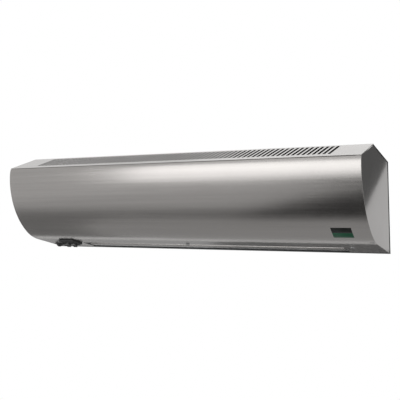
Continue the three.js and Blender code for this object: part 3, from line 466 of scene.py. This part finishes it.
def front_skin():
    """One bent sheet: the fold under the inlet, the curved front and the underside."""
    fold_depth = SKIN + GAP
    fold_end = INLET_FRONT + slope * FOLD_REACH + into_slope * fold_depth
    bm = bmesh.new()
    path = [fold_end, *front_curve(), BOTTOM_FRONT.copy(), under(OUTLET_FRONT, 0),
            under(UNDER_LENGTH - REAR_FLANGE - GAP, 0)]
    drawn_out(bm, chain(bm, path), -HALF_LENGTH, HALF_LENGTH)
    facing(bm, Vector((0, -1, 0)))
    folded(bm, BOTTOM_FRONT, BEND_REACH, segments=10)
    folded(bm, skin_top, FOLD_ROUND, segments=3)
    fold_start = HALF_LENGTH - FOLD_FROM_END
    left, right, near, far = SWITCH_OPENING
    for x in (*OUTLET, left, right, -fold_start, fold_start):
        parted(bm, (x, 0, 0), (1, 0, 0))
    for across in (near, far):
        parted(bm, under(across, 0), across_under)
    to_underside = underside.inverted()

    def opened(centre):
        there = to_underside @ centre
        in_outlet = OUTLET[0] < centre.x < OUTLET[1] and there.y > OUTLET_FRONT
        in_switches = left < centre.x < right and near < there.y < far
        beside_fold = abs(centre.x) > fold_start and centre.y > INLET_FRONT.y + 1.5
        return (abs(there.z) < 0.1 and (in_outlet or in_switches)) or (
            beside_fold and centre.z > INLET_FRONT.z - fold_depth)

    without(bm, opened)
    skin = made("front_skin", bm, "stainless", stands_for=["front_panel"])
    return eased(walled(skin, SKIN), width=0.25)


def slotted_inlet():
    """The punched sheet on the slope: a cell with one slot, repeated along X."""
    bm = bmesh.new()
    low = SLOT_FROM + SLOT_WIDTH / 2
    high = slope_length - SLOT_TO_RIDGE - SLOT_WIDTH / 2
    ring = bmesh.ops.create_circle(bm, segments=SLOT_FACETS, radius=SLOT_WIDTH / 2)["verts"]
    turn = Matrix.Rotation(math.pi / SLOT_FACETS, 4, "Z")
    bmesh.ops.rotate(bm, cent=(0, 0, 0), matrix=turn, verts=ring)
    moved(bm, (0, high, 0), [v for v in ring if v.co.y > 0])
    moved(bm, (0, low, 0), [v for v in ring if v.co.y < SLOT_WIDTH / 2])
    inner = bm.edges[:]
    half = SLOT_PITCH / 2
    outer = chain(bm, [(-half, 0, 0), (half, 0, 0), (half, low, 0), (half, high, 0),
                       (half, slope_length, 0), (-half, slope_length, 0),
                       (-half, high, 0), (-half, low, 0)], closed=True)
    bmesh.ops.bridge_loops(bm, edges=inner + outer)
    first = SLOTS_CENTRE - (SLOTS - 1) / 2 * SLOT_PITCH
    cell = bm.verts[:] + bm.edges[:] + bm.faces[:]
    for i in range(1, SLOTS):
        moved(bm, (i * SLOT_PITCH, 0, 0), bmesh.ops.duplicate(bm, geom=cell)["geom"])
    bmesh.ops.translate(bm, vec=(first, 0, 0), verts=bm.verts)
    bmesh.ops.remove_doubles(bm, verts=bm.verts, dist=SAME_IN_CELLS)
    last = -first + 2 * SLOTS_CENTRE
    for end, side in ((-HALF_LENGTH, first - half), (HALF_LENGTH, last + half)):
        margin = [edge for edge in bm.edges
                  if all(abs(v.co.x - side) < SAME_IN_CELLS for v in edge.verts)]
        moved(bm, (end - side, 0, 0), bmesh.ops.extrude_edge_only(bm, edges=margin)["geom"])
    onto_slope = Matrix.Translation(INLET_FRONT) @ Matrix.Rotation(
        math.atan2(slope.z, slope.y), 4, "X")
    bmesh.ops.transform(bm, matrix=onto_slope, verts=bm.verts)
    facing(bm, -into_slope)
    sheet = made("slotted_inlet", bm, "stainless", stands_for=["inlet_grille"])
    return eased(walled(sheet, SKIN), width=0.22)


def end_pan(side, name, stands_for):
    """An end plate: a shallow pan with a rounded rim, set just inside the skins."""
    bm = bmesh.new()
    past_ridge = 1.012
    back_corner = BACK_TOP + (RIDGE - step_under_inlet - BACK_TOP) * past_ridge
    outline = [*front_curve(), BOTTOM_FRONT.copy(), BOTTOM_REAR, BACK_TOP, back_corner,
               INLET_FRONT]
    face = bmesh.ops.contextual_create(bm, geom=chain(bm, outline, closed=True))["faces"]
    bmesh.ops.inset_region(bm, faces=face, thickness=SKIN + GAP, use_even_offset=True,
                           use_boundary=True)
    bmesh.ops.delete(bm, geom=[f for f in bm.faces if f not in face], context="FACES")
    bmesh.ops.translate(bm, vec=(side * (HALF_LENGTH - END_INSET), 0, 0), verts=bm.verts)
    rim = [edge for edge in bm.edges if edge.is_boundary]
    moved(bm, (-side * END_LIP, 0, 0), bmesh.ops.extrude_edge_only(bm, edges=rim)["geom"])
    facing(bm, Vector((side, 0, 0)))
    corner = [edge for edge in bm.edges
              if all(abs(v.co.x) > HALF_LENGTH - END_INSET - 0.1 for v in edge.verts)]
    bmesh.ops.bevel(bm, geom=corner, offset=END_RIM, segments=4, profile=0.5,
                    affect="EDGES", material=-1)
    pan = made(name, bm, "stainless", stands_for=[stands_for], material=end_steel)
    return eased(walled(pan, INNER_SHEET), width=0.2)


def outlet_vane():
    """The guide strip in the outlet: a lip, a riser and a tab at each end."""
    bm = bmesh.new()
    path = [under(VANE_FRONT + VANE_LIP, VANE_LIFT), under(VANE_FRONT, VANE_LIFT),
            under(VANE_FRONT - VANE_LEAN[0], VANE_LIFT + VANE_HEIGHT / 2),
            under(VANE_FRONT - VANE_LEAN[1], VANE_LIFT + VANE_HEIGHT)]
    drawn_out(bm, chain(bm, path), OUTLET[0] - DUCT_END_GAP, OUTLET[1] + DUCT_END_GAP)
    facing(bm, -above_under)
    folded(bm, path[1], VANE_ROUND, segments=5)
    ends = (OUTLET[0] + VANE_END_GAP, OUTLET[1] - VANE_END_GAP)
    for x in ends:
        parted(bm, (x, 0, 0), (1, 0, 0))
    lifted = underside.inverted()
    without(bm, lambda centre: not ends[0] < centre.x < ends[1]
            and (lifted @ centre).z < VANE_LIFT + VANE_HEIGHT / 2)
    vane = made("outlet_vane", bm, "stainless", stands_for=["outlet_guide_vane"])
    return eased(walled(vane, INNER_SHEET), width=0.25)


# ------------------------------------------------------------------ fixings and fittings


def set_in_underside(bm, x, across):
    """Stands a shape on the underside, with its own Z pointing into the casing."""
    matrix = underside @ Matrix.Translation((x, across, 0))
    bmesh.ops.transform(bm, matrix=matrix, verts=bm.verts)


def pan_head_screw(name, x):
    """A pan-head screw: a domed head with a cross recess, and its shank."""
    head, dome, edge_radius, shank, tip = 2.3, 3.1, 4.1, 1.9, 6.5
    recess_depth, recess_reach, recess_taper = 1.3, 1.5, 0.8
    bm = bmesh.new()
    turned(bm, [(dome, -GAP - head), (3.65, -GAP - 2.1), (3.98, -GAP - 1.6),
                (edge_radius, -GAP - 0.9), (edge_radius, -GAP), (shank, -GAP), (shank, 5.3),
                (0.8, tip), (0, tip)], steps=28)
    rim = [edge for edge in bm.edges if edge.is_boundary]
    grid = bmesh.ops.create_grid(bm, x_segments=7, y_segments=7, size=2.1)["verts"]
    bmesh.ops.translate(bm, vec=(0, 0, -GAP - head), verts=grid)
    faces = each_once(face for v in grid for face in v.link_faces)
    border = [edge for face in faces for edge in face.edges if edge.is_boundary]
    bmesh.ops.bridge_loops(bm, edges=rim + each_once(border))
    cross = [face for face in faces
             if min(abs(face.calc_center_median().x), abs(face.calc_center_median().y)) < 0.2
             and face.calc_center_median().xy.length < recess_reach]
    deep = bmesh.ops.extrude_face_region(bm, geom=cross)["geom"]
    bmesh.ops.delete(bm, geom=cross, context="FACES_ONLY")
    floor = [v for v in deep if isinstance(v, bmesh.types.BMVert)]
    bmesh.ops.translate(bm, vec=(0, 0, recess_depth), verts=floor)
    bmesh.ops.scale(bm, vec=(recess_taper, recess_taper, 1), verts=floor)
    bmesh.ops.recalc_face_normals(bm, faces=bm.faces)
    driven_home = Matrix.Rotation(0.5 + x, 4, "Z")
    bmesh.ops.rotate(bm, cent=(0, 0, 0), matrix=driven_home, verts=bm.verts)
    set_in_underside(bm, x, FIXING_ACROSS)
    # The screws take the darker material, whose colour carries painted shade.
    return made(name, bm, "bright_steel", material=screw_steel,
                stands_for=[name.replace("pan_head", "flange")])


def blind_rivet():
    """A rivet with a low domed head and the hollow that its pulled pin left."""
    bm = bmesh.new()
    turned(bm, [(0, -0.75), (0.7, -0.8), (0.95, -1.3), (1.9, -1.15), (2.8, -0.7), (3.2, -0.3),
                (1.7, -0.3), (1.7, 4), (0, 4)], steps=24)
    bmesh.ops.recalc_face_normals(bm, faces=bm.faces)
    set_in_underside(bm, RIVET_X, FIXING_ACROSS)
    return made("blind_rivet", bm, "bright_steel", stands_for=["skin_rivet"])


def cable_gland(name, size):
    """A membrane gland: a chamfered hexagon, a ringed membrane and a threaded shank."""
    bm = bmesh.new()
    base = -GAP - GLAND_FLANGE
    dome, shank = size["dome"], size["shank"]
    profile = [(0, base - dome * 0.5), (dome * 0.3, base - dome * 0.5),
               (dome * 0.36, base - dome * 0.62), (dome * 0.5, base - dome * 0.62),
               (dome * 0.62, base - dome * 0.5), (dome * 0.82, base - dome * 0.42),
               (dome * 0.95, base - dome * 0.2), (dome, base + 1), (shank, base + 1)]
    threads = 6
    for i in range(threads):
        low = -GAP + (GLAND_TOP - 1) * i / threads
        profile += [(shank, low), (shank - 0.5, low + 0.8)]
    profile += [(shank - 0.5, GLAND_TOP), (shank - 1.5, GLAND_TOP), (shank - 1.5, 2), (0, 2)]
    turned(bm, profile, steps=32)
    hexagon = bmesh.ops.create_circle(
        bm, cap_ends=True, segments=6, radius=size["flats"] / math.sqrt(3))["verts"]
    bmesh.ops.translate(bm, vec=(0, 0, -GAP), verts=hexagon)
    top = each_once(face for v in hexagon for face in v.link_faces)
    moved(bm, (0, 0, -GLAND_FLANGE), bmesh.ops.extrude_face_region(bm, geom=top)["geom"])
    bmesh.ops.recalc_face_normals(bm, faces=bm.faces)
    set_in_underside(bm, size["x"], GLAND_ACROSS)
    gland = made("membrane_" + name, bm, "black_plastic", stands_for=[name])
    return eased(gland, width=0.35)


def two_tone_patch():
    """A plain patch of thin film low on the front, dark above and green below."""
    dark = mottled("dark_film", (0.005, 0.007, 0.006), 0.0, 0.45, 800, 0.1, bump=0.03)
    green = mottled("green_film", (0.006, 0.07, 0.033), 0.0, 0.45, 800, 0.1, bump=0.03)
    for film in (dark, green):
        film.node_tree.nodes["Principled BSDF"].inputs["Specular IOR Level"].default_value = 0.2
    upper, between, lower = PATCH_EDGES
    for name, top, bottom, film in (("patch_dark_film", upper, between, dark),
                                    ("patch_green_film", between, lower, green)):
        bm = bmesh.new()
        path = [p for p in whole_curve() if bottom - 2 < p.z < top + 2]
        drawn_out(bm, chain(bm, path), *PATCH_ENDS)
        facing(bm, Vector((0, -1, -1)))
        for height, keep_above in ((top, False), (bottom, True)):
            bmesh.ops.bisect_plane(
                bm, geom=bm.verts[:] + bm.edges[:] + bm.faces[:], plane_co=(0, 0, height),
                plane_no=(0, 0, 1), clear_outer=not keep_above, clear_inner=keep_above)
        for v in bm.verts:
            v.co += v.normal * PATCH_LIFT
        walled(made(name, bm, "black_plastic", material=film), PATCH_FILM)


# ------------------------------------------------------------------ inside


def heater_rod(i):
    """A straight element: a sheath, a ribbed insulator and a pin at each end."""
    low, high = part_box(f"heater_element_{i}")
    length = (high.x - low.x) / MM
    bm = bmesh.new()
    end = [(0, 0), (1.6, 0), (2, 0.5), (2, 12), (6, 12.3), (6, 13.4), (5.2, 13.8),
           (5.2, 14.6), (6, 15), (6, 16.6), (5.6, 17), (4.2, 17)]
    turned(bm, end + [(radius, length - along) for radius, along in reversed(end)], steps=24)
    bmesh.ops.recalc_face_normals(bm, faces=bm.faces)
    middle = (low + high) / 2 / MM
    matrix = Matrix.Translation((low.x / MM, middle.y, middle.z)) @ Matrix.Rotation(
        math.pi / 2, 4, "Y")
    bmesh.ops.transform(bm, matrix=matrix, verts=bm.verts)
    return made(f"heater_rod_{i}", bm, "heater_sheath", stands_for=[f"heater_element_{i}"])


front_skin()
slotted_inlet()
end_pan(1, "right_end_pan", "right_end_plate")
end_pan(-1, "left_end_pan", "left_end_plate")
outlet_vane()
for which, x in SCREWS.items():
    pan_head_screw("pan_head_screw_" + which, x)
blind_rivet()
for gland_name, gland_size in GLANDS.items():
    cable_gland(gland_name, gland_size)
two_tone_patch()
for number in (1, 2, 3):
    heater_rod(number)

# Each other node, and how wide its broken edges are.
EASING = {
    "rear_panel": 0.25, "switch_panel": 0.5, "fan_switch_body": 0.35,
    "heat_switch_body": 0.35, "fan_rocker": 0.8, "heat_rocker": 0.8,
    "terminal_block": 0.4, "wiring_tray": 0.3, "fan_scroll": 0.2, "fan_tongue": 0.2,
    "blower_cheek_left": 0.3, "blower_cheek_right": 0.3, "bearing_housing": 0.5,
    "motor_bracket": 0.4, "motor_front_shield": 0.8, "motor_rear_shield": 0.8,
    "motor_stator": 0.3, "motor_rotor": 0.4, "rotor_journal": 0.4, "bearing_bush": 0.4,
    "shaft_coupling": 0.6, "supply_gland_nut": 0.5, "control_gland_nut": 0.5,
    "motor_capacitor": 0.5, "capacitor_clip": 0.25, "thermal_cutout": 0.3,
    "earth_stud": 0.25, "lead_grommet_left": 0.5, "lead_grommet_right": 0.5,
    "heater_support": 0.3, "fan_rotor": 0.12, "motor_lead": 0.1,
}
for part_name, easing in EASING.items():
    refined(part_name, easing)

# ------------------------------------------------------------------ the studio

WHITE = (1.0, 1.0, 1.0, 1.0)
FLOOR_SIDE = 9.0
FLOOR_LEVEL = -2.0
FLOOR_GLOW = 0.8
SURROUND_AS_LIGHT = 0.6

# What the steel mirrors: brightness, width, height, place and facing, in metres, and
# for one card the degrees by which it is rolled.
CARDS = {
    "left_wall_card": (0.76, 3.4, 5.0, (-3.3, -2.2, 0.2), (3.3, 2.1, 0)),
    "front_wall_card": (0.62, 7.0, 2.2, (-1.5, -4.8, -1.1), (0.2, 1, 0.1)),
    "dark_wall_card": (0.12, 3.4, 1.5, (0.55, -4.2, -1.25), (0, 1, 0)),
    "front_ground_card": (0.64, 8.0, 4.0, (-2.0, -3.4, -1.96), (0, 0, 1)),
    "dark_ground_card": (0.01, 2.9, 2.9, (0.68, -2.2, -1.90), (0, 0, 1)),
    "grey_ground_card": (0.28, 3.2, 0.8, (-2.2, -1.1, -1.92), (0, 0, 1)),
    "left_ground_card": (0.27, 1.6, 2.6, (-2.4, 0.2, -1.92), (0, 0, 1)),
    "pale_ground_card": (0.5, 4.2, 2.4, (0.55, 0.45, -1.90), (0, 0, 1)),
    "low_back_card": (0.09, 2.5, 1.8, (-0.2, 2.6, -1.1), (0, -1, 0)),
    "low_left_back_card": (0.4, 3.6, 1.8, (-3.2, 2.6, -1.1), (0, -1, 0)),
    "high_back_card": (1.35, 3.0, 2.4, (-0.4, 3.0, 1.7), (0, -1, 0)),
    "dark_back_card": (0.14, 2.0, 5.0, (2.13, 3.1, 0.63), (0, -1, 0), 27.5),
    "light_back_card": (0.7, 3.0, 3.0, (1.2, 3.5, 0.2), (0, -1, 0)),
}


def stage_sheet(name, width, height, place, facing_way, material, roll=0.0):
    """A flat sheet of the studio that faces along a direction, rolled by some degrees."""
    bm = bmesh.new()
    bmesh.ops.create_grid(bm, x_segments=1, y_segments=1, size=0.5)
    bmesh.ops.scale(bm, vec=(width, height, 1), verts=bm.verts)
    turn = Vector(facing_way).to_track_quat("Z", "Y").to_matrix().to_4x4()
    lean = Matrix.Rotation(math.radians(roll), 4, "Z")
    bmesh.ops.transform(bm, matrix=Matrix.Translation(place) @ turn @ lean, verts=bm.verts)
    mesh = bpy.data.meshes.new(name)
    bm.to_mesh(mesh)
    bm.free()
    mesh.materials.append(material)
    sheet = bpy.data.objects.new(name, mesh)
    bpy.context.scene.collection.objects.link(sheet)
    return sheet


def seen_straight_or_mirrored(tree):
    """One for rays from the camera and for mirrored or refracted ones, else nought."""
    path = tree.nodes.new("ShaderNodeLightPath")
    seen = path.outputs["Is Camera Ray"]
    for ray in ("Is Glossy Ray", "Is Transmission Ray"):
        seen = combined(tree, "MAXIMUM", seen, path.outputs[ray])
    return seen


def studio_floor():
    """A pale floor far below, which looks white and keeps a soft shadow."""
    material, tree, surface = shader("studio_floor", (0.88, 0.88, 0.88), 0.0, 0.8)
    glow = tree.nodes.new("ShaderNodeEmission")
    glow.inputs["Color"].default_value = WHITE
    blend = tree.nodes.new("ShaderNodeMixShader")
    share = tree.nodes.new("ShaderNodeMath")
    share.operation = "MULTIPLY"
    share.inputs[1].default_value = FLOOR_GLOW
    tree.links.new(seen_straight_or_mirrored(tree), share.inputs[0])
    tree.links.new(share.outputs[0], blend.inputs["Fac"])
    tree.links.new(surface.outputs["BSDF"], blend.inputs[1])
    tree.links.new(glow.outputs["Emission"], blend.inputs[2])
    tree.links.new(blend.outputs["Shader"], tree.nodes["Material Output"].inputs["Surface"])
    stage_sheet("studio_floor", FLOOR_SIDE, FLOOR_SIDE, (0, 0, FLOOR_LEVEL), (0, 0, 1),
                material)


def studio_card(name, level, width, height, place, facing_way, roll=0.0):
    """A card that only shows as a reflection in the steel."""
    material = bpy.data.materials.new(name)
    material.use_nodes = True
    tree = material.node_tree
    tree.nodes.remove(tree.nodes["Principled BSDF"])
    glow = tree.nodes.new("ShaderNodeEmission")
    glow.inputs["Strength"].default_value = level
    glow.inputs["Color"].default_value = WHITE
    tree.links.new(glow.outputs["Emission"], tree.nodes["Material Output"].inputs["Surface"])
    card = stage_sheet(name, width, height, place, facing_way, material, roll)
    card.visible_camera = False
    card.visible_diffuse = False
    card.visible_shadow = False
    card.visible_transmission = False


def softbox(name, place, aim, width, height, power):
    """A soft lamp with a rectangular face, aimed at a point."""
    light = bpy.data.lights.new(name, "AREA")
    light.shape = "RECTANGLE"
    light.size = width
    light.size_y = height
    light.energy = power
    lamp = bpy.data.objects.new(name, light)
    lamp.location = place
    lamp.rotation_euler = (Vector(aim) - Vector(place)).to_track_quat("-Z", "Y").to_euler()
    bpy.context.scene.collection.objects.link(lamp)


def white_surround():
    """A white world where it is seen, straight or mirrored, and a softer one as light."""
    world = bpy.data.worlds.new("white_surround")
    world.use_nodes = True
    tree = world.node_tree
    glow = tree.nodes["Background"]
    glow.inputs["Color"].default_value = WHITE
    strength = tree.nodes.new("ShaderNodeMapRange")
    strength.inputs["To Min"].default_value = SURROUND_AS_LIGHT
    strength.inputs["To Max"].default_value = 1.0
    tree.links.new(seen_straight_or_mirrored(tree), strength.inputs["Value"])
    tree.links.new(strength.outputs["Result"], glow.inputs["Strength"])
    bpy.context.scene.world = world


def camera():
    """The photograph's viewpoint, fitted to the casing's outline."""
    view = bpy.data.cameras.new("camera")
    view.sensor_fit = "HORIZONTAL"
    view.sensor_width = 36.0
    view.lens = 66.21
    view.shift_y = -0.15
    eye = bpy.data.objects.new("camera", view)
    eye.location = (0.7557, -1.4383, -0.0175)
    eye.rotation_euler = (math.radians(90 + 5.953), 0, math.radians(28.265))
    bpy.context.scene.collection.objects.link(eye)
    bpy.context.scene.camera = eye


camera()
studio_floor()
white_surround()
softbox("front_softbox", place=(-0.95, -2.85, 0.36), aim=(0, -0.15, 0.05), width=1.7,
        height=1.75, power=16.0)
for card_name, card_facts in CARDS.items():
    studio_card(card_name, *card_facts)
bpy.context.scene.view_settings.view_transform = "Standard"
